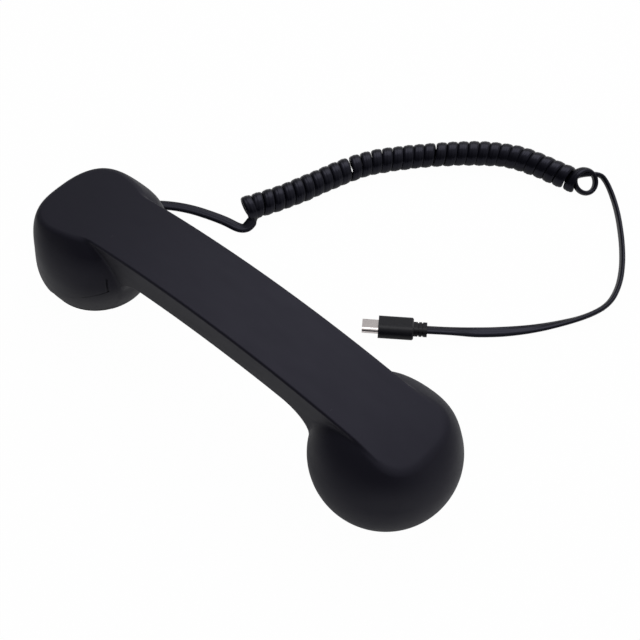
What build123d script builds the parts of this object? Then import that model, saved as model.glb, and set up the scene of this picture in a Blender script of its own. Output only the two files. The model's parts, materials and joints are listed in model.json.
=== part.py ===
from build123d import *
import math
import os

# Telephone handset lying on its two round cups, with a curly flat cord and a small plug.
# +X runs along the handle towards the ear cup, +Z up. The origin is on the table,
# midway along the handset. All sizes are in millimetres.

# Whole handset
length = 210.0
wall = 2.2
parting_gap = 0.1
fit_gap = 0.15

# Handle: a bar bent to one large arc, with a flat top, sides that lean in and bowed ends
handle_top_z = 52.75
handle_arc = 460.0
handle_apex_x = -1.0
handle_half_width = 15.45
handle_lean = 0.08
handle_thickness = 15.4
crease_radius = 0.8
neck_arc = 13.8
neck_bite = 3.2
neck_depth = 27.5
end_bow = 38.0
cup_step = 0.6
front_step = 0.25
least_corner = 0.3

# Ear cup: a ball that ends in a short cone
ear_radius = 28.9
ear_drop = 30.35
ear_cone_deg = 30.0
ear_end_inset = 10.1
ear_end_corner = 4.0

# Mouth cup: half of a tall ellipse turned about its own axis
mouth_radius = 24.6
mouth_half_height = 37.7
mouth_drop = 35.75
mouth_end_inset = 7.6
mouth_end_corner = 2.5

# Parting line of the two shells
parting_slope_deg = 23.0
parting_corner_z = 15.1
mouth_parting_inset = 3.6
ear_parting_inset = 4.3

# Caps and their seats
rim_width = 2.85
cap_recess = 0.6
cap_thickness = 2.2
cap_dish = 0.6
ledge_width = 2.1
ledge_height = 2.2
skirt_height = 1.8
skirt_wall = 1.2
hole_radius = 0.9
hole_pitch = 4.2
ear_hole_rings = 3
mouth_hole_rings = 3
cloth_thickness = 0.4

# Speaker behind the ear cap
gasket_thickness = 0.8
flange_thickness = 0.8
basket_height = 3.8
basket_taper = 5.0
magnet_inset = 1.0
magnet_height = 3.6
cone_thickness = 0.4

# Microphone behind the mouth cap
capsule_radius = 3.0
capsule_height = 2.7
boot_wall = 2.1
boot_floor = 1.2
boot_height = 5.8
holder_wall = 1.2
holder_height = 4.7

# Screws that hold the shells, on a shelf in each cup
shelf_z = 14.0
shelf_thickness = 2.4
shelf_half_width = 8.0
screw_offset_y = 4.8
mouth_screw_inset = 10.0
ear_screw_inset = 12.9
screw_radius = 1.0
screw_head_radius = 2.0
screw_head_height = 1.6
screw_length = 9.0
boss_radius = 3.0
rib_height = 3.0
rib_thickness = 1.4
mouth_rib_offsets = (-6.8, 8.2, 23.2)
ear_rib_offset = 15.4

# Call button in the inner side of the handle, with its switch and board
button_inset = 18.6
button_length = 14.0
button_width = 7.0
button_proud = 0.9
button_travel = 0.5
button_gap = 0.3
button_flange = 1.3
button_flange_thickness = 0.9
nub_radius = 1.5
nub_height = 1.0
plunger_radius = 1.6
plunger_height = 1.7
switch_size = 6.0
switch_height = 3.4
switch_bore_depth = 1.5
board_length = 46.0
board_width = 20.0
board_thickness = 1.2
board_screw_inset = 5.0
board_boss_radius = 2.4
board_screw_radius = 0.8
board_screw_length = 5.0
board_screw_head_radius = 1.6
board_screw_head_height = 1.2
chip_size = 5.0
chip_offset = 10.0
chip_height = 0.9

# Cord outlet in the outer end of the mouth cup
exit_z = 9.5
grommet_flange_radius = 3.8
grommet_flange_thickness = 1.5
grommet_neck_radius = 2.9
grommet_tip_radius = 2.1
grommet_inset = 3.6

# Cord: a flat ribbon of 4.1 by 1.6, held here as a round tube of the same section area
cord_diameter = 2.8
coil_diameter = 11.2

# Plug at the far end of the cord
plug_end = (45.4, 65.1, 4.2)
plug_heading_deg = 216.45
plug_roll_deg = 20.0
relief_length = 5.5
relief_width = 7.6
relief_thickness = 4.2
overmold_length = 14.4
overmold_width = 12.0
overmold_thickness = 6.0
tip_length = 6.65
tip_width = 8.34
tip_thickness = 2.56
tip_wall = 0.3
tip_seat = 2.0
slot_width = 6.7
slot_height = 0.9
slot_depth = 5.2
contact_count = 12
contact_pitch = 0.5
contact_width = 0.25
contact_height = 0.1
contact_length = 4.0

# Route of the cord, chosen by hand
lead_route = [
    (-108.0, 0.0, 9.5),
    (-113.2, 0.0, 9.5),
    (-117.8, 3.6, 7.6),
    (-120.0, 10.2, 4.7),
    (-119.0, 17.5, 2.4),
    (-114.6, 23.9, 1.5),
    (-108.0, 29.0, 1.4),
    (-100.0, 34.0, 1.4),
    (-92.0, 39.6, 1.4),
    (-84.0, 45.4, 1.4),
    (-75.5, 50.2, 1.4),
    (-66.9, 53.2, 1.4),
    (-60.0, 54.3, 1.8),
    (-54.31, 57.96, 2.9),
    (-51.73, 63.04, 2.9),
]
coil_route = [
    (-54.4, 64.4, 5.6),
    (-48.4, 76.2, 5.6),
    (-43.2, 90.4, 5.6),
    (-38.6, 104.8, 5.6),
    (-33.0, 118.8, 5.6),
    (-24.2, 131.2, 5.6),
    (-14.1, 142.9, 5.6),
    (-2.6, 154.6, 5.6),
    (10.4, 164.8, 5.6),
    (25.0, 169.9, 5.6),
    (36.0, 171.2, 5.6),
    (46.5, 172.9, 5.6),
]
tail_route = [
    (45.9, 176.75, 6.6),
    (51.5, 177.65, 6.4),
    (57.2, 177.3, 4.6),
    (63.2, 174.4, 2.6),
    (69.6, 168.8, 1.6),
    (76.2, 161.2, 1.4),
    (82.8, 152.2, 1.4),
    (88.6, 142.2, 1.4),
    (92.6, 131.2, 1.4),
    (92.2, 120.4, 1.4),
    (87.2, 110.2, 1.4),
    (80.4, 100.2, 1.4),
    (72.0, 90.2, 1.4),
    (62.2, 80.4, 1.9),
    (53.04, 70.74, 4.2),
    (45.4, 65.1, 4.2),
]

# Routes of the inner wires: x counts from the axis of the cup they start in
wire_diameter = 1.0
wire_offset = 0.6
wire_landing = 0.6
core_diameter = 2.0
core_landing = 1.2
core_lead_in = 5.5
pad_offset = 5.0
speaker_wire_route = [
    (-8.6, -2.5, 12.5),
    (-11.0, -8.0, 22.0),
    (-16.0, -10.8, 31.0),
    (-25.0, -10.6, 41.0),
]
microphone_wire_route = [
    (0.0, 0.0, 7.2),
    (1.0, -3.0, 16.0),
    (9.0, -9.0, 30.0),
    (24.0, -9.0, 40.5),
    (52.0, -7.0, 43.5),
]
core_route = [
    (-8.0, 3.5, 17.0),
    (3.0, 8.5, 30.0),
    (22.0, 9.3, 40.0),
    (50.0, 7.5, 43.5),
]

# Places worked out from the sizes above
ear_x = length / 2 - ear_radius
mouth_x = mouth_radius - length / 2
ear_centre_z = handle_top_z - ear_drop
mouth_centre_z = handle_top_z - mouth_drop
arc_centre_z = handle_top_z - handle_arc
arc_axis = Axis((handle_apex_x, 0, arc_centre_z), (0, 1, 0))
ear_cone = math.radians(ear_cone_deg)
ear_rim_radius = (ear_radius - ear_centre_z * math.sin(ear_cone)) / math.cos(ear_cone)
mouth_rim_radius = mouth_radius * math.sqrt(1 - (mouth_centre_z / mouth_half_height) ** 2)
ear_cap_radius = ear_rim_radius - rim_width
mouth_cap_radius = mouth_rim_radius - rim_width
mouth_screw_reach = mouth_radius - mouth_screw_inset
ear_screw_reach = ear_radius - ear_screw_inset
exit_share = (exit_z - mouth_centre_z) / mouth_half_height
exit_wall_x = mouth_x - mouth_radius * math.sqrt(1 - exit_share ** 2) + 0.1
cap_seat_z = cap_recess + cap_thickness
ledge_top_z = cap_seat_z + ledge_height
ear_ledge_radius = ear_cap_radius - ledge_width
mouth_ledge_radius = mouth_cap_radius - ledge_width
far_out = 200.0


def under_z(x, depth):
    """Height of the arc that lies a depth under the handle's top, at x."""
    return arc_centre_z + math.sqrt((handle_arc - depth) ** 2 - (x - handle_apex_x) ** 2)


def block(x0, x1, y0, y1, z0, z1):
    """Box between two corners."""
    return Pos((x0 + x1) / 2, (y0 + y1) / 2, (z0 + z1) / 2) * Box(x1 - x0, y1 - y0, z1 - z0)


def rod(x, y, z0, z1, radius):
    """Upright cylinder from z0 to z1."""
    return Pos(x, y, (z0 + z1) / 2) * Cylinder(radius, z1 - z0)


def tube_ring(x, z0, z1, outer, inner):
    """Upright ring about a cup's axis."""
    return rod(x, 0, z0, z1, outer) - rod(x, 0, z0 - 1, z1 + 1, inner)


def turned(x, outline):
    """Solid of revolution about a cup's axis, from lines drawn in radius and height."""
    face = make_face(outline)
    return Pos(x, 0, 0) * revolve(Plane.XZ * face, Axis.Z)


def ear_form(inset):
    """Ball of the ear cup with its cone, drawn in by an inset."""
    radius = ear_radius - inset
    middle = (math.pi / 2 - ear_cone) / 2
    meet = (radius * math.cos(ear_cone), ear_centre_z - radius * math.sin(ear_cone))
    low = (meet[0] - (meet[1] + 1) * math.tan(ear_cone), -1)
    top = (0, ear_centre_z + radius)
    half = (radius * math.cos(middle), ear_centre_z + radius * math.sin(middle))
    outline = [ThreePointArc(top, half, meet), Polyline(meet, low, (0, -1), top)]
    return turned(ear_x, outline)


def mouth_form(inset):
    """Ellipse of the mouth cup turned about its axis, drawn in by an inset."""
    radius = mouth_radius - inset
    height = mouth_half_height - inset
    top = (0, mouth_centre_z + height)
    low = (0, mouth_centre_z - height)
    arc = EllipticalCenterArc((0, mouth_centre_z), radius, height, -90, arc_size=180)
    return turned(mouth_x, [arc, Line(top, low)])


def bar(inset, top_depth, low_depth):
    """Length of the handle's bent bar between two depths under its top, sides drawn in."""
    top_half = handle_half_width - inset - handle_lean * top_depth
    low_half = handle_half_width - inset - handle_lean * low_depth
    top = handle_top_z - top_depth
    low = handle_top_z - low_depth
    corners = [(-top_half, top), (top_half, top), (low_half, low), (-low_half, low)]
    face = make_face(Polyline(*corners, close=True))
    section = Pos(handle_apex_x, 0, 0) * (Plane.YZ * face)
    back = math.degrees(math.asin((handle_apex_x + length / 2) / handle_arc))
    ahead = math.degrees(math.asin((length / 2 - handle_apex_x) / handle_arc))
    return revolve(section.rotate(arc_axis, -back), arc_axis, back + ahead)


def bar_ends(inset):
    """Upright space between the two bowed ends of the handle's bar, wider than the bar."""
    half = handle_half_width + 8
    sag = end_bow - math.sqrt(end_bow ** 2 - half ** 2)
    mouth_end = mouth_end_inset - length / 2 + inset
    ear_end = length / 2 - ear_end_inset - inset
    outline = [
        ThreePointArc((mouth_end + sag, -half), (mouth_end, 0), (mouth_end + sag, half)),
        Line((mouth_end + sag, half), (ear_end - sag, half)),
        ThreePointArc((ear_end - sag, half), (ear_end, 0), (ear_end - sag, -half)),
        Line((ear_end - sag, -half), (mouth_end + sag, -half)),
    ]
    return extrude(make_face(outline), handle_top_z + 10)


def handle_form(inset):
    """The handle's bar with bowed ends, rounded corners, arched top and the finger gap."""
    handle = bar(inset, -3, neck_depth) & bar_ends(inset)
    for corner, way in ((mouth_end_corner, 1), (ear_end_corner, -1)):
        upright = [edge for edge in handle.edges() if abs((edge % 0.5).Z) > 0.9]
        upright.sort(key=lambda edge: way * (edge @ 0.5).X)
        handle = fillet(upright[:2], max(corner - inset, least_corner))
    handle -= above_top(inset)
    if inset == 0:
        crown = handle.faces().sort_by(Axis.Z)[-1]
        handle = fillet(crown.edges(), crease_radius)
    return handle - finger_gap(inset)


def neck_centre(cup_x, cup_radius, toward):
    """Centre of the concave arc between a cup and the handle's underside, in x and z."""
    x = cup_x + toward * (cup_radius - neck_bite + neck_arc)
    return x, under_z(x, handle_thickness + neck_arc)


mouth_neck = neck_centre(mouth_x, mouth_radius, 1)
ear_neck = neck_centre(ear_x, ear_radius, -1)


def finger_gap(inset):
    """Space under the handle between the cups, grown by an inset: arc, two necks, upright ends."""
    radius = neck_arc + inset
    low_arc = handle_arc - handle_thickness
    ends = []
    for centre, toward in ((mouth_neck, -1), (ear_neck, 1)):
        lean = math.asin((centre[0] - handle_apex_x) / (low_arc - neck_arc))
        middle = (lean + toward * math.pi / 2) / 2
        foot = (centre[0] + toward * radius, centre[1])
        half = (centre[0] + radius * math.sin(middle), centre[1] + radius * math.cos(middle))
        head = (centre[0] + radius * math.sin(lean), centre[1] + radius * math.cos(lean))
        ends.append((foot, half, head))
    apex = (handle_apex_x, arc_centre_z + low_arc + inset)
    mouth_end, ear_end = ends
    outline = [
        ThreePointArc(*mouth_end),
        ThreePointArc(mouth_end[2], apex, ear_end[2]),
        ThreePointArc(*ear_end[::-1]),
        Polyline(ear_end[0], (ear_end[0][0], -60), (mouth_end[0][0], -60), mouth_end[0]),
    ]
    return extrude(Plane.XZ * make_face(outline), 40, both=True)


def above_top(inset):
    """Everything over the handle's long arched top, which also cuts both cups."""
    radius = handle_arc - inset
    reach = length / 2 + 5
    ends = []
    for x in (-reach, reach):
        ends.append((x, arc_centre_z + math.sqrt(radius ** 2 - (x - handle_apex_x) ** 2)))
    apex = (handle_apex_x, arc_centre_z + radius)
    high = handle_top_z + 40
    lid = Polyline(ends[1], (reach, high), (-reach, high), ends[0])
    outline = [ThreePointArc(ends[0], apex, ends[1]), lid]
    return extrude(Plane.XZ * make_face(outline), 60, both=True)


def outer_form(inset):
    """The handset's whole outside, drawn in by an inset and open below the table."""
    cups = ear_form(inset) + mouth_form(inset) - above_top(inset + cup_step)
    return cups + handle_form(inset)


def front_zone(gap):
    """Space of the front shell: inner half of each cup and the handle's floor, grown by a gap."""
    slope = math.tan(math.radians(parting_slope_deg))
    corner_z = parting_corner_z + gap
    mouth_corner = mouth_x + mouth_radius - mouth_parting_inset - gap
    ear_corner = ear_x - ear_radius + ear_parting_inset + gap
    run = 60.0
    zones = []
    for corner, way, top in ((mouth_corner, -1, mouth_neck[1] + gap), (ear_corner, 1, ear_neck[1] + gap)):
        outline = Polyline(
            (corner + way * run, corner_z - slope * run),
            (corner, corner_z),
            (corner, top),
            (corner - way * 10, top),
            (corner - way * 10, -60),
            (corner + way * run, -60),
            close=True,
        )
        zones.append(extrude(Plane.XZ * make_face(outline), 40, both=True))
    floor = bar(wall - gap, handle_thickness - wall - gap, 60)
    floor &= block(mouth_corner, ear_corner, -40, 40, -60, 90)
    return zones[0] + zones[1] + floor


def make_shells():
    """Back shell with the top and outer cups, front shell with the floor and inner cups."""
    half_wall = outer_form(wall / 2)
    shell = outer_form(0) - outer_form(wall)
    cups = ((ear_x, ear_cap_radius, ear_ledge_radius), (mouth_x, mouth_cap_radius, mouth_ledge_radius))
    for x, cap_radius, ledge_radius in cups:
        collar = rod(x, 0, -1, ledge_top_z, cap_radius + wall) & half_wall
        shell += collar
        shell -= rod(x, 0, -2, cap_seat_z, cap_radius + fit_gap)
        shell -= rod(x, 0, -2, ledge_top_z + 1, ledge_radius)
    shell -= block(-far_out, far_out, -far_out, far_out, -far_out, 0)
    front = shell & front_zone(0) & outer_form(front_step)
    back = shell - front_zone(parting_gap)
    return back, front, half_wall


def screw_places():
    """Axes of the four screws that hold the shells."""
    places = []
    for x in (mouth_x + mouth_screw_reach, ear_x - ear_screw_reach):
        for side in (-1, 1):
            places.append((x, side * screw_offset_y))
    return places


def board_screw_places():
    """Axes of the two screws that hold the board."""
    half = board_length / 2 - board_screw_inset
    return [(button_x - half, 0), (button_x + half, 0)]


# Place and heights of the stack over the call button
button_x = ear_neck[0] - button_inset
panel_low_z = under_z(button_x, handle_thickness)
panel_high_z = under_z(button_x, handle_thickness - wall)
flange_half = button_length / 2 + button_gap + button_flange
flange_z = under_z(button_x - flange_half, handle_thickness - wall) + fit_gap
nub_z = flange_z + button_flange_thickness
plunger_z = nub_z + nub_height
switch_z = plunger_z + plunger_height - button_travel - 0.2
board_z = switch_z + switch_height
board_x0 = button_x - board_length / 2
board_x1 = button_x + board_length / 2


def slot_solid(width_x, width_y, z0, z1):
    """Upright solid with an oval section at the button's place."""
    face = SlotOverall(width_x, width_y)
    return Pos(button_x, 0, z0) * extrude(face, z1 - z0)


def finish_back_shell(back, half_wall):
    """Adds the screw bosses, the board's bosses, the ribs and the cord hole."""
    boss_z = shelf_z + shelf_thickness + parting_gap
    for x, y in screw_places():
        back += rod(x, y, boss_z, 60, boss_radius) & half_wall
        back -= rod(x, y, boss_z - 1, shelf_z + screw_length + 1, screw_radius + 0.05)
    for x, y in board_screw_places():
        back += rod(x, y, board_z + board_thickness, 60, board_boss_radius) & half_wall
        back -= rod(x, y, board_z, board_z + board_screw_length, board_screw_radius + 0.05)
    stations = [mouth_neck[0] + offset for offset in mouth_rib_offsets]
    for x in stations + [ear_neck[0] + ear_rib_offset]:
        roof = under_z(x, wall)
        rib = block(x - rib_thickness / 2, x + rib_thickness / 2, -20, 20, roof - rib_height, 60)
        back += rib & half_wall
    hole = Rot(0, 90, 0) * Cylinder(grommet_neck_radius + fit_gap, 14)
    back -= Pos(exit_wall_x, 0, exit_z) * hole
    return back


def finish_front_shell(front, half_wall):
    """Adds the two screw shelves and the button's opening."""
    for x, way in ((mouth_x + mouth_screw_reach, 1), (ear_x - ear_screw_reach, -1)):
        x0, x1 = sorted((x - way * 4.5, x + way * 12))
        shelf = block(x0, x1, -shelf_half_width, shelf_half_width, shelf_z, shelf_z + shelf_thickness)
        front += shelf & half_wall
    for x, y in screw_places():
        front -= rod(x, y, shelf_z - 1, shelf_z + shelf_thickness + 1, screw_radius + fit_gap)
    grown = 2 * button_gap
    front -= slot_solid(button_length + grown, button_width + grown, panel_low_z - 3, panel_high_z + 3)
    return front


def hole_places(rings, reach):
    """Centre hole and rings of six, twelve and so on, as far as the reach allows."""
    places = [(0, 0)]
    for ring in range(1, rings + 1):
        radius = ring * hole_pitch
        if radius + hole_radius < reach:
            for step in range(6 * ring):
                angle = math.tau * step / (6 * ring)
                places.append((radius * math.cos(angle), radius * math.sin(angle)))
    return places


def make_cap(x, radius, rings):
    """Round cap with a dished outer face, a skirt and sound holes."""
    edge = 0.4
    foot = (radius - 1.6, cap_recess)
    outline = [
        ThreePointArc((0, cap_recess + cap_dish), (foot[0] * 0.5, cap_recess + cap_dish * 0.75), foot),
        Polyline(
            foot,
            (radius - edge, cap_recess),
            (radius, cap_recess + edge),
            (radius, cap_seat_z),
            (0, cap_seat_z),
            (0, cap_recess + cap_dish),
        ),
    ]
    cap = turned(x, outline)
    skirt = radius - ledge_width - fit_gap
    cap += tube_ring(x, cap_seat_z, cap_seat_z + skirt_height, skirt, skirt - skirt_wall)
    for hx, hy in hole_places(rings, skirt - skirt_wall):
        cap -= rod(x + hx, hy, -1, cap_seat_z + 1, hole_radius)
    return cap


def make_speaker():
    """Frame, cone, magnet and gasket of the small speaker."""
    inner = ear_ledge_radius - 1.5
    outer = ear_ledge_radius + 1.4
    floor_radius = inner - basket_taper
    z0 = ledge_top_z
    gasket = tube_ring(ear_x, z0, z0 + gasket_thickness, outer, inner)
    z1 = z0 + gasket_thickness
    z2 = z1 + flange_thickness
    z3 = z2 + basket_height
    slope = Polyline(
        (inner, z1),
        (outer, z1),
        (outer, z2),
        (inner + 1.0, z2),
        (floor_radius, z3),
        (0, z3),
        (0, z3 - 0.8),
        (floor_radius - 0.5, z3 - 0.8),
        (inner, z2 - 0.2),
        close=True,
    )
    frame = turned(ear_x, [slope])
    for turn in range(4):
        window = Pos(ear_x, 0, z2 + basket_height * 0.55) * Rot(0, 0, 45 + 90 * turn)
        frame -= window * Pos(inner - 2, 0, 0) * Box(6, 5, basket_height * 0.5)
    rim = inner - 0.15
    throat = 4.0
    cone_z = z3 - 1.0
    profile = Polyline(
        (0, cone_z - 1.4),
        (throat, cone_z - 0.6),
        (rim - 1.5, z1 + 0.5),
        (rim, z1 + 0.2),
        (rim, z1 + 0.2 + cone_thickness),
        (rim - 1.5, z1 + 0.5 + cone_thickness),
        (throat, cone_z - 0.6 + cone_thickness),
        (0, cone_z - 1.4 + cone_thickness),
        close=True,
    )
    cone = turned(ear_x, [profile])
    magnet = rod(ear_x, 0, z3, z3 + magnet_height, floor_radius - magnet_inset)
    magnet = chamfer(magnet.edges().group_by(Axis.Z)[-1], 0.4)
    return frame, cone, magnet, gasket


def make_microphone():
    """Capsule in a rubber boot, over the mouth cap's cloth."""
    z0 = cap_seat_z + cloth_thickness
    radius = capsule_radius + boot_wall
    boot = rod(mouth_x, 0, z0, z0 + boot_height, radius)
    boot -= rod(mouth_x, 0, z0 - 1, z0 + boot_floor + 1, 1.2)
    boot -= rod(mouth_x, 0, z0 + boot_floor, z0 + boot_height + 1, capsule_radius)
    capsule = rod(mouth_x, 0, z0 + boot_floor, z0 + boot_floor + capsule_height, capsule_radius)
    capsule = chamfer(capsule.edges().group_by(Axis.Z)[-1], 0.3)
    return boot, capsule


def make_button():
    """Oval call button with its inner flange and nub."""
    low = panel_low_z - button_proud
    button = slot_solid(button_length, button_width, low, flange_z + 0.2)
    button = fillet(button.edges().group_by(Axis.Z)[0], 0.6)
    grown = 2 * (button_gap + button_flange)
    button += slot_solid(button_length + grown, button_width + grown, flange_z, nub_z)
    button += rod(button_x, 0, nub_z, plunger_z, nub_radius)
    return button


def make_screw(x, y, z, radius, head, head_height, shank_length):
    """Pan-head screw driven upwards, its head under z."""
    screw = rod(x, y, z - head_height, z, head)
    screw = fillet(screw.edges().group_by(Axis.Z)[0], head_height * 0.4)
    screw -= Pos(x, y, z - head_height) * Box(head * 1.1, 0.5, 1.0)
    screw -= Pos(x, y, z - head_height) * Box(0.5, head * 1.1, 1.0)
    return screw + rod(x, y, z, z + shank_length, radius)


def corner_radii(points):
    """Largest arc at each corner of a route: 0.45 of the shorter run over tan(half turn)."""
    radii = []
    for before, here, after in zip(points, points[1:], points[2:]):
        come = Vector(*here) - Vector(*before)
        go = Vector(*after) - Vector(*here)
        half = math.radians(come.get_angle(go)) / 2
        radii.append(0.45 * min(come.length, go.length) / math.tan(half))
    return radii


def tube(points, diameter, name=None):
    """Round tube along straight runs joined by tangent arcs."""
    radii = corner_radii(points)
    path = FilletPolyline(*points, radius=radii)
    face = Plane(origin=path @ 0, z_dir=path % 0) * Circle(diameter / 2)
    solid = sweep(face, path=path)
    if name:
        ratio = solid.volume / (math.pi * diameter ** 2 / 4 * path.length)
        print(name, "length", round(path.length, 1), "smallest arc", round(min(radii), 1),
              "volume over section x length", round(ratio, 4))
    return solid


def make_grommet():
    """Rubber outlet: inner flange, neck in the shell's hole, short taper outside."""
    inner = exit_wall_x + grommet_inset
    tip = lead_route[0][0]
    outline = Polyline(
        (inner + grommet_flange_thickness, 0),
        (inner + grommet_flange_thickness, grommet_flange_radius),
        (inner, grommet_flange_radius),
        (inner, grommet_neck_radius),
        (exit_wall_x - 0.3, grommet_neck_radius),
        (exit_wall_x - 0.3, grommet_neck_radius + 0.7),
        (exit_wall_x - 1.1, grommet_neck_radius + 0.7),
        (tip, grommet_tip_radius),
        (tip, 0),
        close=True,
    )
    face = Plane.XZ * make_face(outline)
    return Pos(0, 0, exit_z) * revolve(face, Axis.X)


def plug_frame(distance):
    """Plane across the plug's axis, a distance from the cord's end, width along its x."""
    heading = math.radians(plug_heading_deg)
    along = Vector(math.cos(heading), math.sin(heading), 0)
    level = Vector(-math.sin(heading), math.cos(heading), 0)
    roll = math.radians(plug_roll_deg)
    across = level * math.cos(roll) + Vector(0, 0, 1) * math.sin(roll)
    origin = Vector(*plug_end) + along * distance
    return Plane(origin=origin, x_dir=across, z_dir=along)


def plug_prism(width, thickness, start, end):
    """Solid with a rounded flat section along the plug's axis."""
    return extrude(plug_frame(start) * SlotOverall(width, thickness), end - start)


def make_plug():
    """Strain relief, overmould, metal tip, its insert and the contacts."""
    z1 = relief_length
    z2 = z1 + overmold_length
    z3 = z2 + tip_length
    relief = plug_prism(relief_width, relief_thickness, 0, z1)
    for share in (0.3, 0.6):
        groove = plug_prism(relief_width + 2, relief_thickness + 2, z1 * share, z1 * share + 0.5)
        groove -= plug_prism(relief_width - 0.8, relief_thickness - 0.8, 0, z1)
        relief -= groove
    overmold = plug_prism(overmold_width, overmold_thickness, z1, z2)
    ends = overmold.faces().filter_by(GeomType.PLANE).sort_by_distance(plug_frame(z1).origin)
    overmold = chamfer(ends[0].edges(), 0.5)
    overmold -= plug_prism(tip_width, tip_thickness, z2 - tip_seat, z2 + 1)
    shell = plug_prism(tip_width, tip_thickness, z2 - tip_seat, z3)
    shell -= plug_prism(tip_width - 2 * tip_wall, tip_thickness - 2 * tip_wall, z2 - tip_seat - 1, z3 + 1)
    insert = plug_prism(tip_width - 2 * tip_wall, tip_thickness - 2 * tip_wall, z2 - tip_seat, z3 - 0.5)
    mouth = extrude(plug_frame(z3 - slot_depth) * Rectangle(slot_width, slot_height), slot_depth + 1)
    insert -= mouth
    contacts = []
    for side in (-1, 1):
        for index in range(contact_count):
            offset = (index - (contact_count - 1) / 2) * contact_pitch
            height = side * (slot_height / 2 - contact_height / 2)
            face = Pos(offset, height) * Rectangle(contact_width, contact_height)
            contacts.append(extrude(plug_frame(z3 - slot_depth) * face, contact_length))
    return relief, overmold, shell, insert, contacts


def make_wires():
    """Thin wires from the board to the speaker, the microphone and the cord."""
    board_low = board_z + board_thickness / 2
    speaker = []
    mic = []
    for side in (-wire_offset, wire_offset):
        route = [(ear_x + x, y + side, z) for x, y, z in speaker_wire_route]
        route.append((board_x1 + wire_landing, side - pad_offset, board_low))
        speaker.append(tube(route, wire_diameter))
        route = [(mouth_x + x, y + side, z) for x, y, z in microphone_wire_route]
        route.append((board_x0 - wire_landing, side - pad_offset, board_low))
        mic.append(tube(route, wire_diameter))
    inner = exit_wall_x + grommet_inset + grommet_flange_thickness
    route = [(inner, 0, exit_z), (inner + core_lead_in, 0, exit_z)]
    route += [(mouth_x + x, y, z) for x, y, z in core_route]
    route.append((board_x0 - core_landing, pad_offset, board_low))
    return speaker, mic, tube(route, core_diameter)


back_shell, front_shell, half_wall_form = make_shells()
back_shell = finish_back_shell(back_shell, half_wall_form)
front_shell = finish_front_shell(front_shell, half_wall_form)

ear_cap = make_cap(ear_x, ear_cap_radius, ear_hole_rings)
mouth_cap = make_cap(mouth_x, mouth_cap_radius, mouth_hole_rings)
holder_radius = capsule_radius + boot_wall + 0.1
mouth_cap += tube_ring(mouth_x, cap_seat_z, cap_seat_z + holder_height, holder_radius + holder_wall, holder_radius)
ear_cloth_radius = ear_ledge_radius - fit_gap - skirt_wall - 0.2
ear_cloth = rod(ear_x, 0, cap_seat_z, cap_seat_z + cloth_thickness, ear_cloth_radius)
mouth_cloth = rod(mouth_x, 0, cap_seat_z, cap_seat_z + cloth_thickness, holder_radius - 0.2)

speaker_frame, speaker_cone, speaker_magnet, speaker_gasket = make_speaker()
microphone_boot, microphone_capsule = make_microphone()

call_button = make_button()
switch_plunger = rod(button_x, 0, plunger_z, plunger_z + plunger_height, plunger_radius)
switch_body = block(button_x - switch_size / 2, button_x + switch_size / 2,
                    -switch_size / 2, switch_size / 2, switch_z, board_z)
switch_body -= rod(button_x, 0, switch_z - 1, switch_z + switch_bore_depth, plunger_radius + 0.1)
audio_board = block(board_x0, board_x1, -board_width / 2, board_width / 2, board_z, board_z + board_thickness)
for sx, sy in board_screw_places():
    audio_board -= rod(sx, sy, board_z - 1, board_z + board_thickness + 1, board_screw_radius + 0.2)
chip_x = button_x - chip_offset
audio_chip = block(chip_x - chip_size / 2, chip_x + chip_size / 2, -chip_size / 2, chip_size / 2,
                   board_z - chip_height, board_z)

assembly_screws = [
    make_screw(x, y, shelf_z, screw_radius, screw_head_radius, screw_head_height, screw_length)
    for x, y in screw_places()
]
board_screws = [
    make_screw(x, y, board_z, board_screw_radius, board_screw_head_radius,
               board_screw_head_height, board_screw_length * 0.9)
    for x, y in board_screw_places()
]
speaker_wires, microphone_wires, cord_core = make_wires()

cord_grommet = make_grommet()
cord_lead = tube(lead_route, cord_diameter, "cord_lead")
cord_coil = tube(coil_route, coil_diameter, "cord_coil")
cord_tail = tube(tail_route, cord_diameter, "cord_tail")
plug_relief, plug_overmold, plug_tip, plug_insert, plug_contacts = make_plug()

nodes = {
    "back_shell": back_shell,
    "front_shell": front_shell,
    "ear_cap": ear_cap,
    "mouth_cap": mouth_cap,
    "ear_cloth": ear_cloth,
    "mouth_cloth": mouth_cloth,
    "speaker_frame": speaker_frame,
    "speaker_cone": speaker_cone,
    "speaker_magnet": speaker_magnet,
    "speaker_gasket": speaker_gasket,
    "microphone_boot": microphone_boot,
    "microphone_capsule": microphone_capsule,
    "call_button": call_button,
    "switch_plunger": switch_plunger,
    "switch_body": switch_body,
    "audio_board": audio_board,
    "audio_chip": audio_chip,
    "assembly_screws": assembly_screws,
    "board_screws": board_screws,
    "speaker_wires": speaker_wires,
    "microphone_wires": microphone_wires,
    "cord_core": cord_core,
    "cord_grommet": cord_grommet,
    "cord_lead": cord_lead,
    "cord_coil": cord_coil,
    "cord_tail": cord_tail,
    "plug_relief": plug_relief,
    "plug_overmold": plug_overmold,
    "plug_tip": plug_tip,
    "plug_insert": plug_insert,
    "plug_contacts": plug_contacts,
}

os.makedirs("parts", exist_ok=True)
for name, shape in nodes.items():
    if isinstance(shape, list):
        solids = [solid for item in shape for solid in item.solids()]
    else:
        solids = list(shape.solids())
    export_step(solids[0] if len(solids) == 1 else Compound(solids), f"parts/{name}.step")
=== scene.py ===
"""Telephone handset lying on its two cups, with a flat curly cord and a small plug."""
import json
import math

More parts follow.
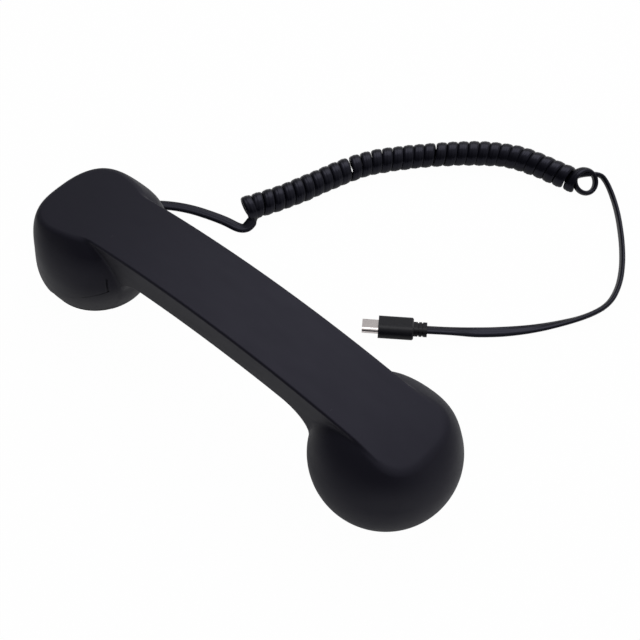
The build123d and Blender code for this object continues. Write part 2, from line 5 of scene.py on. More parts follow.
import bpy
import numpy as np
from mathutils import Matrix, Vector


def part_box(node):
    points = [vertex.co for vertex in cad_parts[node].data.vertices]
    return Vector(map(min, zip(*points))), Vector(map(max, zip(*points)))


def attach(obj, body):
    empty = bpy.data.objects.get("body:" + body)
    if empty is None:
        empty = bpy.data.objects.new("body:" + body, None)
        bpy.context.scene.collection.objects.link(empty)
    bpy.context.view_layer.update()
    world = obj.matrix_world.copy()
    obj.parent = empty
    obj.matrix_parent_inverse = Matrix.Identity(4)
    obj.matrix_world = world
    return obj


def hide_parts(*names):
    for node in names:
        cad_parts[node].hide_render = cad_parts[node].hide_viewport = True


bl_info = {
    "name": "Telephone Handset",
    "version": (1, 0, 0),
    "blender": (4, 5, 0),
    "location": "View3D > Sidebar > Handset",
    "description": "Builds the covers, the curly cord and the studio of a telephone handset",
    "category": "Add Mesh",
}

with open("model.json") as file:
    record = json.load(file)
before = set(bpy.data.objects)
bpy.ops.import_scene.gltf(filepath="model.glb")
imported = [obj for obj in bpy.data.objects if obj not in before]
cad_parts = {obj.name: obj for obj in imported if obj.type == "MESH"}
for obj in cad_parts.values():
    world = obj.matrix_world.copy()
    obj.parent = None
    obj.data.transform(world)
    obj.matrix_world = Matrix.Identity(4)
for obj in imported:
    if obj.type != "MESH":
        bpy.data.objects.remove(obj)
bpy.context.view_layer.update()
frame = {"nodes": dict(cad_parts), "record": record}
MM = 0.001
EAR_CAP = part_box("ear_cap")
MOUTH_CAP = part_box("mouth_cap")
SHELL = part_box("back_shell")
EAR_X = (EAR_CAP[0].x + EAR_CAP[1].x) / 2
MOUTH_X = (MOUTH_CAP[0].x + MOUTH_CAP[1].x) / 2
TOP_Z = SHELL[1].z
EAR_OVERLAP = 8 * MM
WAY_SHARES = (0.1, 0.24, 0.32, 0.24, 0.1)
RAY_LONGEST = 75 * MM
HALVINGS = 26
DENSE_RINGS = 2400
DENSE_ANGLES = 900
POINT_SPACING = 1.1 * MM
POINTS_PER_RADIAN = 9.0
INNER_STEP = 4
RIM_BREAK = 0.2 * MM
ZONE_OUTWARD = 60 * MM
ZONE_INWARD = 22 * MM
ZONE_LOW = -20 * MM
ZONE_HALF = 40 * MM
FLOOR_DEPTH = 24 * MM
FLOOR_STATIONS = 60
OPENING_LONG = 7.3 * MM
OPENING_WIDE = 3.8 * MM
OPENING_POINTS = 48
OPENING_BELOW = 4 * MM
PLUG_HEADING = math.radians(216.45)
PLUG_ROLL = math.radians(20.0)
COVER_SHARP = math.radians(38)
CORD_SHARP = math.radians(60)
SHELL_GRAIN = 0.012 * MM
BRUSH_DEPTH = 0.004 * MM
WEAVE_DEPTH = 0.05 * MM


def length_prop(label, text, millimetres):
    """A length that a user may change, given in millimetres and kept in metres."""
    return bpy.props.FloatProperty(
        name=label, description=text, default=millimetres * MM, unit="LENGTH", precision=5)


def angle_prop(label, text, degrees):
    """An angle that a user may change, given in degrees."""
    return bpy.props.FloatProperty(
        name=label, description=text, default=math.radians(degrees), subtype="ANGLE")


def share_prop(label, text, value, high=1.0):
    """A plain factor from 0 to a highest value."""
    return bpy.props.FloatProperty(name=label, description=text, default=value, min=0.0, max=high)


def count_prop(label, text, value):
    """A whole number of rings, points or turns."""
    return bpy.props.IntProperty(name=label, description=text, default=value, min=3)


def colour_prop(label, text, value):
    """A linear colour."""
    return bpy.props.FloatVectorProperty(
        name=label, description=text, default=value, subtype="COLOR", size=3, min=0.0, max=1.0)


class HandsetForm(bpy.types.PropertyGroup):
    """Sizes of the handle, the two cups and the line where the covers part."""
    handle_arc: length_prop("Handle arc", "Radius of the handle's long arch", 460.0)
    handle_apex: length_prop("Handle apex", "Where along the handle its arch is highest", -1.0)
    half_width: length_prop("Half width", "Half the width of the handle's top facet", 15.45)
    lean: share_prop("Side lean", "How far the handle's sides lean in over its depth", 0.08)
    thickness: length_prop("Handle depth", "Depth of the handle from top to underside", 15.4)
    mouth_square: share_prop("Mouth squareness", "Power that squares its plan at the facet", 2.7, 8.0)
    ear_square: share_prop("Ear squareness", "Power that squares its plan at the facet", 3.0, 8.0)
    square_low: length_prop("Square from", "Height where the cups start to turn squarish", 28.0)
    square_high: length_prop("Square to", "Height where the cups are fully squarish", 43.0)
    collar: length_prop("Collar", "How far the front cover lies behind the back cover", 0.35)
    crease: length_prop("Crease", "Rounding along the edges of the top facet", 1.0)
    seam: length_prop("Inner crease", "Rounding where the handle's sides meet the cups", 0.7)
    edge: length_prop("Lower edge", "Rounding along the handle's lower edges", 1.3)
    neck: length_prop("Neck arc", "Radius of the hollow between a cup and the handle", 13.8)
    ear_radius: length_prop("Ear ball", "Radius of the ear cup's ball", 28.75)
    ear_rise: length_prop("Ear rise", "Half height of the ear cup above its widest ring", 27.8)
    ear_height: length_prop("Ear centre", "Height where the ear cup is widest", 22.3)
    ear_cone: angle_prop("Ear cone", "Angle under the equator where the ball turns to a cone", 30.0)
    mouth_radius: length_prop("Mouth radius", "Radius of the mouth cup at its widest", 27.7)
    mouth_height: length_prop("Mouth centre", "Height where the mouth cup is widest", 26.1)
    mouth_rise: length_prop("Mouth rise", "Half height of the mouth cup above its widest ring", 28.6)
    mouth_fall: length_prop("Mouth fall", "Half height of the ellipse under the widest ring", 40.7)
    mouth_shift: length_prop("Mouth shift", "How far the mouth cup's top leans inward over its rim", 7.0)
    mouth_shift_rise: length_prop("Shift rise", "Height over which the mouth cup leans inward", 30.2)
    wall: length_prop("Wall", "Thickness of the covers", 1.8)
    ledge: length_prop("Ledge", "Width of the ledge that a cap seats on", 2.1)
    ledge_low: length_prop("Ledge underside", "Height of the ledge's underside", 2.8)
    ledge_high: length_prop("Ledge top", "Height of the ledge's upper side", 5.0)
    lip: length_prop("Lip", "Rounding of a cup's lower rim", 0.5)
    cap_gap: length_prop("Cap gap", "Clearance round a cap", 0.15)
    mouth_slope: angle_prop("Mouth parting slope", "Slope of the parting line on the mouth cup", 30.0)
    mouth_parting_z: length_prop("Mouth parting height", "Height of its inner corner", 26.0)
    mouth_parting: length_prop("Mouth parting", "From the mouth cup's axis to its parting corner", 28.0)
    mouth_slot: length_prop("Mouth slot", "Height where the parting turns to the handle's floor", 33.6)
    ear_slope: angle_prop("Ear parting slope", "Slope of the parting line on the ear cup", 23.0)
    ear_parting_z: length_prop("Ear parting height", "Height of its inner corner", 15.1)
    ear_parting: length_prop("Ear parting", "From the ear cup's axis to its parting corner", 24.6)
    ear_slot: length_prop("Ear slot", "Height where the parting meets the handle's floor", 21.5)
    lip_depth: length_prop("Lip depth", "How far the lip behind the parting lies under the surface", 0.9)
    lip_reach: length_prop("Lip reach", "How far the lip runs on behind the other cover", 1.2)
    parting_wall: length_prop("Parting wall", "Side wall left beside the handle's floor", 2.2)
    parting_gap: length_prop("Parting gap", "Width of the open line between the covers", 0.4)
    rings: count_prop("Rings", "Rings along the outside", 330)
    ring_points: count_prop("Ring points", "Points round half of each ring", 108)


class CordForm(bpy.types.PropertyGroup):
    """Sizes of the flat cord and its coil."""
    width: length_prop("Width", "Width of the flat cord", 4.8)
    thickness: length_prop("Thickness", "Thickness of the flat cord", 2.2)
    groove: length_prop("Groove", "Depth of the two fine grooves along the cord", 0.12)
    coil_radius: length_prop("Coil radius", "Radius of the coil at the cord's middle", 4.5)
    loop_radius: length_prop("Loop radius", "Radius of the open loop that ends the coil", 5.2)
    turn_points: count_prop("Turn points", "Points in each turn", 12)
    steps: count_prop("Steps", "Steps between two points of the cord", 5)


class Finishes(bpy.types.PropertyGroup):
    """Colours and roughnesses of the visible surfaces."""
    shell: colour_prop("Cover", "Soft-touch blue-black of the covers", (0.0068, 0.0066, 0.0115))
    shell_rough: share_prop("Cover roughness", "Roughness of the covers", 0.52)
    lint: colour_prop("Lint", "Pale specks and hairs on the covers", (0.085, 0.085, 0.095))
    cord: colour_prop("Cord", "Glossy black of the cord", (0.0024, 0.0024, 0.0048))
    cord_rough: share_prop("Cord roughness", "Roughness of the cord", 0.3)
    plug: colour_prop("Plug", "Matte black of the plug's body", (0.0045, 0.0045, 0.008))
    metal: colour_prop("Plug metal", "Warm grey of the plug's tip", (0.8, 0.74, 0.73))


class Studio(bpy.types.PropertyGroup):
    """Camera and light."""
    azimuth: angle_prop("Azimuth", "Camera's turn about the upright", 41.26)
    elevation: angle_prop("Elevation", "Camera's height above the horizon", 53.0)
    distance: length_prop("Distance", "From the camera to its aim", 502.0)
    aim_x: length_prop("Aim X", "The camera's aim along the handle", 22.75)
    aim_y: length_prop("Aim Y", "The camera's aim across the handle", 24.64)
    aim_z: length_prop("Aim Z", "Height of the camera's aim", 31.5)
    lens: bpy.props.FloatProperty(name="Lens", description="Focal length in mm", default=73.35)
    sky: share_prop("Sky", "Strength of the light high behind the handset", 0.95, 4.0)
    dark: share_prop("Dark side", "Strength of the light in front of the handset", 0.16, 4.0)
    key: bpy.props.FloatProperty(name="Key light", description="Power of the large soft light", default=3.0)


class Wire:
    """An output of a node, on which plain arithmetic adds Math nodes."""

    def __init__(self, finish, socket):
        self.finish = finish
        self.socket = socket

    def math(self, operation, first, second=0.0):
        """One Math node on two numbers or wires."""
        return self.finish.add("ShaderNodeMath", {"operation": operation}, {0: first, 1: second})

    def __add__(self, other):
        return self.math("ADD", self, other)

    __radd__ = __add__

    def __sub__(self, other):
        return self.math("SUBTRACT", self, other)

    def __rsub__(self, other):
        return self.math("SUBTRACT", other, self)

    def __mul__(self, other):
        return self.math("MULTIPLY", self, other)

    __rmul__ = __mul__

    def __lt__(self, other):
        return self.math("LESS_THAN", self, other)

    def __gt__(self, other):
        return self.math("GREATER_THAN", self, other)


class Finish:
    """A material or a world whose nodes are added by one method."""

    def __init__(self, owner):
        self.owner = owner
        self.owner.use_nodes = True
        self.tree = self.owner.node_tree
        self.tree.nodes.clear()

    def add(self, kind, settings=None, inputs=None, output=0):
        """Adds a node: its settings first, then the values or wires of its sockets."""
        node = self.tree.nodes.new(kind)
        for key, value in (settings or {}).items():
            setattr(node, key, value)
        for key, value in (inputs or {}).items():
            if isinstance(value, Wire):
                self.tree.links.new(value.socket, node.inputs[key])
            else:
                node.inputs[key].default_value = value
        return Wire(self, node.outputs[output]) if len(node.outputs) else node

    def place(self, scale=(1, 1, 1), turn=(0, 0, 0), shift=(0, 0, 0)):
        """Object coordinates in metres, moved, turned and scaled."""
        here = self.add("ShaderNodeTexCoord", output="Object")
        inputs = {"Vector": here, "Scale": scale, "Rotation": turn, "Location": shift}
        return self.add("ShaderNodeMapping", None, inputs)

    def noise(self, where, scale, detail=2.0, roughness=0.5):
        """Soft noise from 0 to 1."""
        inputs = {"Vector": where, "Scale": scale, "Detail": detail, "Roughness": roughness}
        return self.add("ShaderNodeTexNoise", None, inputs)

    def cells(self, where, scale, output="Distance"):
        """Scattered points: the distance to the nearest, or its own random colour."""
        inputs = {"Vector": where, "Scale": scale, "Randomness": 1.0}
        return self.add("ShaderNodeTexVoronoi", {"feature": "F1"}, inputs, output)

    def mix(self, share, first, second):
        """Blends two colours."""
        return self.add("ShaderNodeMix", {"data_type": "RGBA"}, {0: share, 6: first, 7: second}, 2)

    def bump(self, height, depth):
        """A Bump node for a height from 0 to 1 and its depth in metres."""
        return self.add("ShaderNodeBump", None, {"Height": height, "Distance": depth})

    def surface(self, **sockets):
        """Ends the material in one Principled shader and returns the material."""
        names = {}
        for key, value in sockets.items():
            names[key.replace("_", " ").title().replace("Ior", "IOR")] = value
        shader = self.add("ShaderNodeBsdfPrincipled", None, names)
        self.add("ShaderNodeOutputMaterial", None, {"Surface": shader})
        return self.owner


def rgba(colour, factor=1.0):
    """A colour with its alpha, made darker or lighter by a factor."""
    return (colour[0] * factor, colour[1] * factor, colour[2] * factor, 1.0)


def soft_touch(name, colour, rough, lint):
    """Soft-touch plastic: faint mottling, a fine grain, specks of lint and a few hairlines."""
    finish = Finish(bpy.data.materials.new(name))
    here = finish.place()
    cloud = finish.noise(here, 28.0, 3.0)
    grain = finish.noise(here, 2600.0, 2.0)
    rubbed = finish.noise(finish.place((1, 3.5, 3.5), (0.2, 0.1, 0.5)), 60.0, 4.0)
    speck_pick = finish.add("ShaderNodeSeparateColor", None, {"Color": finish.cells(here, 95.0, "Color")})
    specks = (finish.cells(here, 95.0) < 0.021) * (speck_pick > 0.62)
    strokes = finish.place((60.0, 4.5, 4.5), (0.3, 0.2, 0.9))
    hair_pick = finish.add("ShaderNodeSeparateColor", None, {"Color": finish.cells(strokes, 9.0, "Color")})
    hairs = (finish.cells(strokes, 9.0) < 0.028) * (hair_pick > 0.72)
    marks = specks + hairs * 0.55
    pale = marks.math("MINIMUM", marks, 1.0)
    base = finish.mix(cloud, rgba(colour, 0.86), rgba(colour, 1.16))
    base = finish.mix(pale * 0.75, base, rgba(lint))
    roughness = rubbed * 0.1 + (rough - 0.05) + pale * 0.1
    normal = finish.bump(grain + pale * 0.6, SHELL_GRAIN)
    return finish.surface(base_color=base, roughness=roughness, normal=normal, specular_ior_level=0.25,
                          specular_tint=(0.8, 0.78, 1.0, 1.0))


def grained(name, colour, rough, grain_scale=1800.0, depth=0.00002, spread=0.15, **sockets):
    """Plain moulded, cast or plated material with its own grain and a slight change of shade."""
    finish = Finish(bpy.data.materials.new(name))
    here = finish.place()
    cloud = finish.noise(here, 160.0, 3.0)
    grain = finish.noise(here, grain_scale, 3.0)
    base = finish.mix(cloud, rgba(colour, 1 - spread), rgba(colour, 1 + spread))
    roughness = grain * 0.12 + (rough - 0.06)
    return finish.surface(base_color=base, roughness=roughness, normal=finish.bump(grain, depth), **sockets)


def brushed(name, colour, rough, turn):
    """Brushed metal with fine lines across its own direction."""
    finish = Finish(bpy.data.materials.new(name))
    lines = finish.noise(finish.place((1.0, 24.0, 24.0), (0, 0, turn)), 420.0, 3.0, 0.6)
    cloud = finish.noise(finish.place(), 240.0, 2.0)
    base = finish.mix(cloud, rgba(colour, 0.93), rgba(colour, 1.05))
    roughness = lines * 0.16 + (rough - 0.08)
    return finish.surface(base_color=base, roughness=roughness, metallic=1.0,
                          normal=finish.bump(lines, BRUSH_DEPTH))


def woven(name, colour):
    """Fine acoustic cloth: two crossed sets of threads."""
    finish = Finish(bpy.data.materials.new(name))
    threads = {"Vector": finish.place(), "Scale": 900.0}
    warp, weft = (finish.add("ShaderNodeTexWave", {"wave_type": "BANDS", "bands_direction": way}, threads)
                  for way in "XY")
    height = warp * weft
    base = finish.mix(height, rgba(colour, 0.5), rgba(colour, 1.6))
    return finish.surface(base_color=base, roughness=0.9, normal=finish.bump(height, WEAVE_DEPTH))


def new_piece(name, points, faces):
    """A mesh object from arrays of points and faces."""
    mesh = bpy.data.meshes.new(name)
    faces = faces.tolist() if isinstance(faces, np.ndarray) else faces
    mesh.from_pydata(np.asarray(points, float).reshape(-1, 3).tolist(), [], faces)
    mesh.update()
    piece = bpy.data.objects.new(name, mesh)
    bpy.context.scene.collection.objects.link(piece)
    return piece


def smooth(mesh, angle):
    """Smooth shading, with edges over an angle kept sharp."""
    mesh.polygons.foreach_set("use_smooth", np.ones(len(mesh.polygons), bool))
    mesh.set_sharp_from_angle(angle=angle)


def grid_faces(rows, columns, close_rows=False):
    """Quads of a grid whose columns close on themselves, and whose rows may."""
    i = np.arange(rows if close_rows else rows - 1)[:, None]
    j = np.arange(columns)[None, :]
    after = (i + 1) % rows
    beside = (j + 1) % columns
    here = i * columns
    there = after * columns
    quads = np.stack([here + j, there + j, there + beside, here + beside], -1)
    return quads.reshape(-1, 4)


def dress(piece, material, body="handset", replaces=()):
    """Gives a piece its material and its body, and hides the nodes that it stands in for."""
    piece.data.materials.clear()
    piece.data.materials.append(material)
    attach(piece, body)
    if replaces:
        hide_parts(*replaces)
    return piece


def round_union(a, b, radius):
    """Joins two fields and fills their inner corner with an arc."""
    corner = np.hypot(np.maximum(radius - a, 0), np.maximum(radius - b, 0))
    return np.maximum(radius, np.minimum(a, b)) - corner


def round_meet(a, b, radius):
    """Keeps what two fields share and rounds their outer corner with an arc."""
    corner = np.hypot(np.maximum(radius + a, 0), np.maximum(radius + b, 0))
    return np.minimum(-radius, np.maximum(a, b)) + corner


def outside_field(form, x, y, z):
    """Signed distance to the handset's outside, negative within.

    The ear cup is a ball with a tangent cone, the mouth cup an ellipse turned about an axis that
    leans inward. Both turn squarish near the top. The handle is what lies between two leaning sides
    and over the underside's arc, led into the cups by a round hollow. The long arch cuts all of it
    from above.
    """
    arc = np.hypot(x - form.handle_apex, z - TOP_Z + form.handle_arc)
    top = arc - form.handle_arc
    ear_r = plan_radius(form, form.ear_square, x - EAR_X, y, z)
    ear_z = z - form.ear_height
    ear_z = np.where(ear_z > 0, ear_z * form.ear_radius / form.ear_rise, ear_z)
    ball = np.hypot(ear_r, ear_z) - form.ear_radius
    cone = ear_r * math.cos(form.ear_cone) - ear_z * math.sin(form.ear_cone) - form.ear_radius
    ear = np.where(ear_z < -ear_r * math.tan(form.ear_cone), cone, ball)
    mouth_r = plan_radius(form, form.mouth_square, x - mouth_axis(form, z), y, z)
    mouth_r = mouth_r / form.mouth_radius
    mouth_z = z - form.mouth_height
    half_height = np.where(mouth_z > 0, form.mouth_rise, form.mouth_fall)
    mouth_z = mouth_z / half_height
    stretch = np.hypot(mouth_r, mouth_z)
    slope = np.hypot(mouth_r / form.mouth_radius, mouth_z / half_height)
    cups = np.minimum(ear, (stretch - 1) * stretch / np.maximum(slope, 1e-6))
    under = form.handle_arc - form.thickness - arc
    side = (np.abs(y) - form.half_width - form.lean * top) / math.hypot(1, form.lean)
    handle = round_meet(side, round_union(cups, under, form.neck), form.edge)
    handle = np.maximum(handle, np.maximum(x - EAR_X - EAR_OVERLAP, MOUTH_X - x))
    return round_meet(round_union(cups, handle, form.seam), top, form.crease)


def plan_radius(form, square, x, y, z):
    """Distance from a cup's axis: round below, by a growing power squarish near the facet."""
    share = np.clip((z - form.square_low) / (form.square_high - form.square_low), 0, 1)
    power = 2 + (square - 2) * share * share
    return ((np.abs(x) + 1e-9) ** power + (np.abs(y) + 1e-9) ** power) ** (1 / power)


def mouth_axis(form, z):
    """Where the mouth cup's axis lies at each height: a smooth step moves it along the handle."""
    share = np.clip(z / form.mouth_shift_rise, 0, 1)
    return MOUTH_X + form.mouth_shift * share * share * (3 - 2 * share)


def neck_centres(form):
    """Centres of the two hollows under the handle, each as (x, z), and the handle's middle height."""
    arc_z = TOP_Z - form.handle_arc
    centres = []
    mouth_side = MOUTH_X + form.mouth_shift + form.mouth_radius
    for x in (mouth_side + form.neck, EAR_X - form.ear_radius - form.neck):
        reach = form.handle_arc - form.thickness - form.neck
        centres.append((x, arc_z + math.sqrt(reach ** 2 - (x - form.handle_apex) ** 2)))
    return centres


def spine(form, u):
    """For shares u of the way: ring centres, outward directions and how far inward a ray may go.

    The way goes up the mouth cup's axis, round a quarter turn into the handle, along it, round
    another quarter turn and down the ear cup's axis. Every ring lies in the plane across it.
    """
    (mouth_nx, mouth_nz), (ear_nx, ear_nz) = neck_centres(form)
    arc_z = TOP_Z - form.handle_arc
    middle = form.handle_arc - form.thickness / 2
    stops = np.concatenate([[0.0], np.cumsum(WAY_SHARES)])
    part = np.clip(np.searchsorted(stops, u, side="right") - 1, 0, 4)
    share = (u - stops[part]) / np.diff(stops)[part]
    centre = np.zeros((len(u), 3))
    outward = np.zeros((len(u), 3))
    reach = np.zeros(len(u))
    ends = ((0, 1, MOUTH_X, mouth_nx, mouth_nz, -1), (4, 3, EAR_X, ear_nx, ear_nz, 1))
    for upright, bend, cup_x, nx, nz, way in ends:
        low = part == upright
        rise = share[low] if way < 0 else 1 - share[low]
        centre[low] = np.stack([np.full(rise.shape, cup_x), 0 * rise, rise * nz], -1)
        outward[low] = (way, 0, 0)
        reach[low] = abs(nx - cup_x)
        turn = part == bend
        swing = share[turn] if way < 0 else 1 - share[turn]
        angle = swing * math.pi / 2
        ease = swing * swing * (3 - 2 * swing)
        rest = arc_z + math.sqrt(middle ** 2 - (nx - form.handle_apex) ** 2) - nz
        radius = abs(nx - cup_x) * (1 - ease) + rest * ease
        outward[turn] = np.stack([way * np.cos(angle), 0 * angle, np.sin(angle)], -1)
        centre[turn] = np.array([nx, 0, nz]) + radius[:, None] * outward[turn]
        reach[turn] = radius
    along = part == 2
    x = mouth_nx + share[along] * (ear_nx - mouth_nx)
    height = arc_z + np.sqrt(middle ** 2 - (x - form.handle_apex) ** 2)
    centre[along] = np.stack([x, 0 * x, height], -1)
    outward[along] = (0, 0, 1)
    reach[along] = form.thickness * 2
    return centre, outward, reach


def ray_lengths(form, rays, angle, level):
    """How far each ray runs until the outside's field reaches a level, found by halving."""
    centre, outward, reach = rays
    cosine = np.cos(angle)
    sine = np.sin(angle)
    inward = np.maximum(-cosine, 1e-6)
    high = np.minimum(RAY_LONGEST, reach[:, None] / inward)
    low = np.zeros_like(high)
    for _ in range(HALVINGS):
        mid = (low + high) / 2
        x = centre[:, 0:1] + mid * cosine * outward[:, 0:1]
        z = centre[:, 2:3] + mid * cosine * outward[:, 2:3]
        inside = outside_field(form, x, mid * sine, z) < level
        low = np.where(inside, mid, low)
        high = np.where(inside, high, mid)
    return (low + high) / 2


def ray_points(rays, angle, length):
    """Points at the ends of rays that leave each ring's centre at an angle from its outward side."""
    centre, outward, _ = rays
    flat = length * np.cos(angle)
    x = centre[:, 0:1] + flat * outward[:, 0:1]
    z = centre[:, 2:3] + flat * outward[:, 2:3]
    return np.stack([x, length * np.sin(angle), z], -1)


def even_by_bend(points, where, count):
    """New parameter values along a line, closer where it bends: length and turning add up evenly."""
    step = np.diff(points, axis=-2)
    run = np.linalg.norm(step, axis=-1)
    unit = step / np.maximum(run, 1e-9)[..., None]
    dot = np.clip((unit[..., 1:, :] * unit[..., :-1, :]).sum(-1), -1, 1)
    turn = np.arccos(dot)
    weight = run / POINT_SPACING
    weight[..., 1:] += turn * POINTS_PER_RADIAN / 2
    weight[..., :-1] += turn * POINTS_PER_RADIAN / 2
    total = np.concatenate([np.zeros(weight.shape[:-1] + (1,)), np.cumsum(weight, -1)], -1)
    wanted = np.linspace(0, 1, count)
    rows = total.reshape(-1, total.shape[-1])
    found = [np.interp(wanted * row[-1], row, where) for row in rows]
    return np.array(found).reshape(total.shape[:-1] + (count,))


def covers_surface(form, inset=0.0):
    """Closed surface of the hollow covers as rows of rings: outside, rims, ledges and inside."""
    dense_u = np.linspace(0, 1, DENSE_RINGS)
    rays = spine(form, dense_u)
    straight = np.zeros((len(dense_u), 1))
    meridian = ray_points(rays, straight, ray_lengths(form, rays, straight, -inset))[:, 0]
    u = even_by_bend(meridian, dense_u, form.rings)
    u = np.clip(u, 0, 1 - 1e-9)
    rays = spine(form, u)
    dense = np.broadcast_to(np.linspace(0, math.pi, DENSE_ANGLES), (len(u), DENSE_ANGLES))
    section = ray_points(rays, dense, ray_lengths(form, rays, dense, -inset))
    half = even_by_bend(section, dense[0], form.ring_points)
    around = np.concatenate([half, -half[:, -2:0:-1]], -1)
    outer = mirrored(ray_points(rays, half, ray_lengths(form, rays, half, -inset)))
    chosen = np.zeros(len(u), bool)
    chosen[::INNER_STEP] = True
    chosen &= outer[:, 0, 2] > form.ledge_high
    inner_rays = tuple(part[chosen] for part in rays)
    inner_half = half[chosen]
    inner_lengths = ray_lengths(form, inner_rays, inner_half, -form.wall)
    inner = mirrored(ray_points(inner_rays, inner_half, inner_lengths))
    inner = inner[inner[:, :, 2].min(1) > form.ledge_high + form.lip]
    mouth_rim = rim_rings(form, around[0], MOUTH_X, MOUTH_CAP, outer[0], -1)
    ear_rim = rim_rings(form, around[-1], EAR_X, EAR_CAP, outer[-1], 1)
    return np.concatenate([mouth_rim[::-1], outer[1:-1], ear_rim, inner[::-1]])


def mirrored(half):
    """Whole rings from half rings on the +Y side."""
    other = half[:, -2:0:-1] * np.array([1, -1, 1])
    return np.concatenate([half, other], 1)


def rim_rings(form, around, cup_x, cap, lowest, way):
    """Rings of a cup's rim: round lip, recess for the cap, ledge and the ledge's inner wall."""
    outer_radius = np.abs(lowest[:, 0] - cup_x).max()
    cap_radius = (cap[1].x - cap[0].x) / 2 + form.cap_gap
    ledge_radius = cap_radius - form.cap_gap - form.ledge
    steps = [(outer_radius + form.lip * 0.35, form.lip)]
    steps += [(outer_radius - form.lip * (1 - math.cos(a)), form.lip * (1 - math.sin(a)))
              for a in (0.5, 1.0, math.pi / 2)]
    steps += [(cap_radius + RIM_BREAK, 0.0), (cap_radius, RIM_BREAK), (cap_radius, form.ledge_low)]
    steps += [(ledge_radius, form.ledge_low), (ledge_radius, form.ledge_high)]
    steps += [(outer_radius - 1.2 * form.wall, form.ledge_high)]
    rings = []
    for radius, z in steps:
        x = cup_x + way * radius * np.cos(around)
        rings.append(np.stack([x, radius * np.sin(around), np.full(len(around), z)], -1))
    return np.array(rings)


def closed_mesh(name, rows):
    """Mesh of rings that close both ways, with its faces turned outwards."""
    faces = grid_faces(len(rows), rows.shape[1], close_rows=True)
    points = rows.reshape(-1, 3)
    a, b, c = (points[faces[:, k]] for k in range(3))
    if np.einsum("ij,ij->i", a, np.cross(b, c)).sum() < 0:
        faces = faces[:, ::-1]
    return new_piece(name, points, faces)


def prism(name, outline, half_width):
    """Solid from an outline in x and z, drawn out to both sides along y."""
    outline = np.asarray(outline, float)
    count = len(outline)
    turned = np.roll(outline, -1, 0)
    area = (outline[:, 0] * turned[:, 1] - turned[:, 0] * outline[:, 1]).sum()
    if area < 0:
        outline = outline[::-1]
    points = np.concatenate([
        np.insert(outline, 1, -half_width, axis=1), np.insert(outline, 1, half_width, axis=1)])
    sides = [[count + i, count + (i + 1) % count, (i + 1) % count, i] for i in range(count)]
    near = list(range(count))
    far = list(range(2 * count - 1, count - 1, -1))
    return new_piece(name, points, [near, far] + sides)


def front_zone(form, gap):
    """Space of the front cover: the inner half of each cup and the handle's floor, grown by a gap."""
    mouth_corner = MOUTH_X + form.mouth_parting - gap
    ear_corner = EAR_X - form.ear_parting + gap
    zones = []
    for corner, corner_z, slope, top, way in (
            (mouth_corner, form.mouth_parting_z, form.mouth_slope, form.mouth_slot, -1),
            (ear_corner, form.ear_parting_z, form.ear_slope, form.ear_slot, 1)):
        outer = corner + way * ZONE_OUTWARD
        inner = corner - way * ZONE_INWARD
        drop = math.tan(slope) * ZONE_OUTWARD
        outline = [(outer, corner_z + gap - drop), (corner, corner_z + gap), (corner, top + gap),
                   (inner, top + gap), (inner, ZONE_LOW), (outer, ZONE_LOW)]
        zones.append(prism("zone", outline, ZONE_HALF))
    x = np.linspace(mouth_corner, ear_corner, FLOOR_STATIONS)
    arc_z = TOP_Z - form.handle_arc
    depth_high = form.thickness - form.parting_wall - gap
    high = arc_z + np.sqrt((form.handle_arc - depth_high) ** 2 - (x - form.handle_apex) ** 2)
    half_high = form.half_width - form.parting_wall + gap - form.lean * depth_high
    half_low = half_high - form.lean * FLOOR_DEPTH
    low = high - FLOOR_DEPTH
    edges = ((-half_high, high), (half_high, high), (half_low, low), (-half_low, low))
    rings = np.stack([np.stack([x, y + 0 * x, z], -1) for y, z in edges], 1)
    faces = grid_faces(len(x), 4).tolist()
    last = 4 * (len(x) - 1)
    faces += [[0, 1, 2, 3], [last + 3, last + 2, last + 1, last]]
    floor = new_piece("zone", rings, faces)
    outward_faces(floor)
    for zone in zones:
        outward_faces(zone)
    return merge_solids("UNION", floor, *zones)


def outward_faces(piece):
    """Turns a closed mesh's faces outwards, going by the sign of its volume."""
    mesh = piece.data
    mesh.calc_loop_triangles()
    corners = np.zeros(len(mesh.loop_triangles) * 3, np.int32)
    mesh.loop_triangles.foreach_get("vertices", corners)
    points = np.zeros(len(mesh.vertices) * 3)
    mesh.vertices.foreach_get("co", points)
    a, b, c = points.reshape(-1, 3)[corners].reshape(-1, 3, 3).transpose(1, 0, 2)
    if np.einsum("ij,ij->i", a, np.cross(b, c)).sum() < 0:
        mesh.flip_normals()


def merge_solids(operation, first, *others):
    """Joins, cuts or intersects closed meshes, one after another, and removes the ones used up."""
    for other in others:
        modifier = first.modifiers.new("solid", "BOOLEAN")
        modifier.operation = operation
        modifier.solver = "MANIFOLD"
        modifier.object = other
        graph = bpy.context.evaluated_depsgraph_get()
        mesh = bpy.data.meshes.new_from_object(first.evaluated_get(graph))
        first.modifiers.clear()
        first.data = mesh
    for other in others:
        bpy.data.objects.remove(other)
    return first


def button_opening():
    """Upright slot with round ends that opens the front cover round the call button."""
    low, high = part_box("call_button")
    centre_x = (low.x + high.x) / 2
    angle = np.linspace(0, math.tau, OPENING_POINTS, endpoint=False)
    straight = OPENING_LONG - OPENING_WIDE
    x = centre_x + np.sign(np.cos(angle)) * straight + OPENING_WIDE * np.cos(angle)
    y = OPENING_WIDE * np.sin(angle)
    rows = [np.stack([x, y, np.full(OPENING_POINTS, z)], -1) for z in (low.z - OPENING_BELOW, high.z)]
    last = 2 * OPENING_POINTS - 1
    faces = grid_faces(2, OPENING_POINTS).tolist()
    faces += [list(range(OPENING_POINTS)), list(range(last, OPENING_POINTS - 1, -1))]
    cutter = new_piece("opening", np.array(rows), faces)
    outward_faces(cutter)
    return cutter


